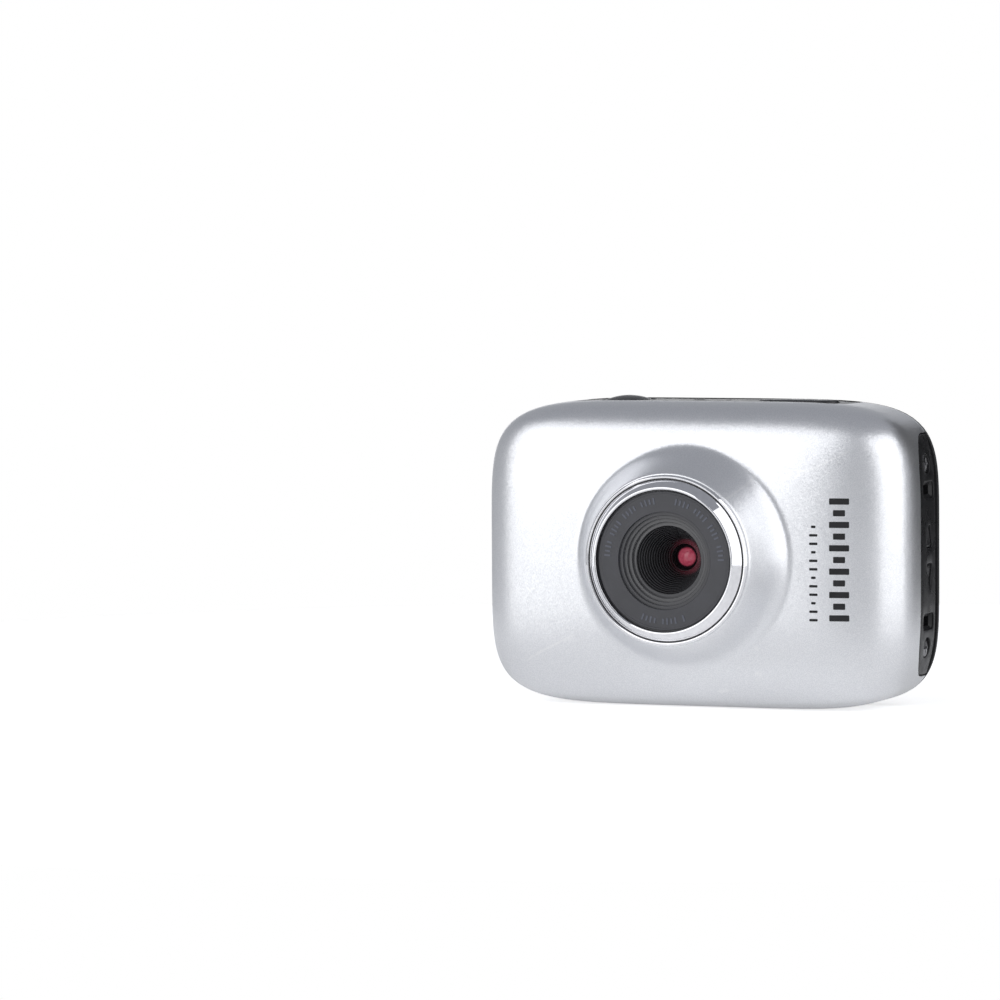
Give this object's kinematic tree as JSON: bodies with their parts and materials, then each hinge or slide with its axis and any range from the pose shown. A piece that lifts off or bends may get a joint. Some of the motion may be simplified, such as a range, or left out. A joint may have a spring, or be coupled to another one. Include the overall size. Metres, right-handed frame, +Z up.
{
  "type": "action camera",
  "caption": "Compact action camera with a rounded silver case, raised chrome-ringed lens, inset side and top panels, push buttons, port door and rear screen.",
  "frame": {"origin": "under the middle of the whole camera, on the surface it stands on", "axes": "+Z up, +X along the width, the lens looks along -Y"},
  "size_m": [0.0646, 0.0288, 0.0445],
  "materials": {
    "silver_paint": "metallic silver paint, satin",
    "black_plastic": "fine satin",
    "black_bezel": "satin, finely stepped",
    "button_plastic": "satin",
    "chrome_trim": "polished",
    "coated_glass": "red coated",
    "clear_glass": "clear",
    "screen_glass": "gloss black",
    "screen_panel": "gloss",
    "circuit_board": "green solder mask",
    "chip": "matt",
    "steel": "nickel plated",
    "dark_screw": "black plated",
    "battery_wrap": "printed film",
    "foam": "closed cell foam",
    "ivory_plastic": "moulded",
    "lead_wire": "insulated wire"
  },
  "bodies": {
    "case": {"front_shell": "silver_paint", "back_shell": "black_plastic", "top_panel": "black_plastic", "right_panel": "black_plastic", "left_panel": "black_plastic", "mid_frame": "black_plastic", "lens_trim_ring": "chrome_trim", "lens_bezel": "black_bezel", "lens_barrel": "black_plastic", "lens_holder": "black_plastic", "front_lens": "coated_glass", "rear_lens": "clear_glass", "infrared_filter": "clear_glass", "image_sensor": "chip", "sensor_board": "circuit_board", "sensor_connector": "ivory_plastic", "main_board": "circuit_board", "processor": "chip", "memory_chips": "chip", "battery": "battery_wrap", "battery_leads": "lead_wire", "battery_socket": "ivory_plastic", "screen_module": "screen_panel", "screen_window": "screen_glass", "screen_gasket": "foam", "usb_port": "steel", "card_socket": "steel", "door_pin": "steel", "top_switch_board": "circuit_board", "top_switches": "steel", "side_switch_board": "circuit_board", "side_switches": "steel", "back_switches": "steel", "status_light": "clear_glass", "microphone": "steel", "speaker": "steel", "right_panel_screws": "dark_screw", "left_panel_screws": "dark_screw", "board_screws": "steel", "holder_screws": "steel"},
    "shutter": {"shutter_button": "button_plastic"},
    "power": {"power_button": "button_plastic"},
    "zoom_in": {"zoom_in_key": "button_plastic"},
    "zoom_out": {"zoom_out_key": "button_plastic"},
    "menu": {"menu_button": "button_plastic"},
    "mode": {"mode_button": "button_plastic"},
    "play": {"play_button": "button_plastic"},
    "door": {"port_door": "black_plastic"},
    "card": {"memory_card": "chip"}
  },
  "joints": [
    {"name": "shutter_press", "type": "slide", "parent": "case", "child": "shutter", "axis": [0, 0, -1], "range_m": [0, 0.0004], "stiffness_N_per_m": 1875, "springref_m": -0.0002},
    {"name": "power_press", "type": "slide", "parent": "case", "child": "power", "axis": [0, 0, -1], "range_m": [0, 0.0004], "stiffness_N_per_m": 1875, "springref_m": -0.0002},
    {"name": "zoom_in_press", "type": "slide", "parent": "case", "child": "zoom_in", "axis": [-1, 0, 0], "range_m": [0, 0.0003], "stiffness_N_per_m": 2500, "springref_m": -0.00015},
    {"name": "zoom_out_press", "type": "slide", "parent": "case", "child": "zoom_out", "axis": [-1, 0, 0], "range_m": [0, 0.0003], "stiffness_N_per_m": 2500, "springref_m": -0.00015},
    {"name": "menu_press", "type": "slide", "parent": "case", "child": "menu", "axis": [0, -1, 0], "range_m": [0, 0.0004], "stiffness_N_per_m": 1875, "springref_m": -0.0002},
    {"name": "mode_press", "type": "slide", "parent": "case", "child": "mode", "axis": [0, -1, 0], "range_m": [0, 0.0004], "stiffness_N_per_m": 1875, "springref_m": -0.0002},
    {"name": "play_press", "type": "slide", "parent": "case", "child": "play", "axis": [0, -1, 0], "range_m": [0, 0.0004], "stiffness_N_per_m": 1875, "springref_m": -0.0002},
    {"name": "door_hinge", "type": "hinge", "parent": "case", "child": "door", "pos_m": [-0.0315, 0.00995, 0.02195], "axis": [0, 0, -1], "range_deg": [0, 100]},
    {"name": "card_push", "type": "slide", "parent": "case", "child": "card", "axis": [1, 0, 0], "range_m": [0, 0.0008], "stiffness_N_per_m": 600, "springref_m": -0.0004}
  ]
}
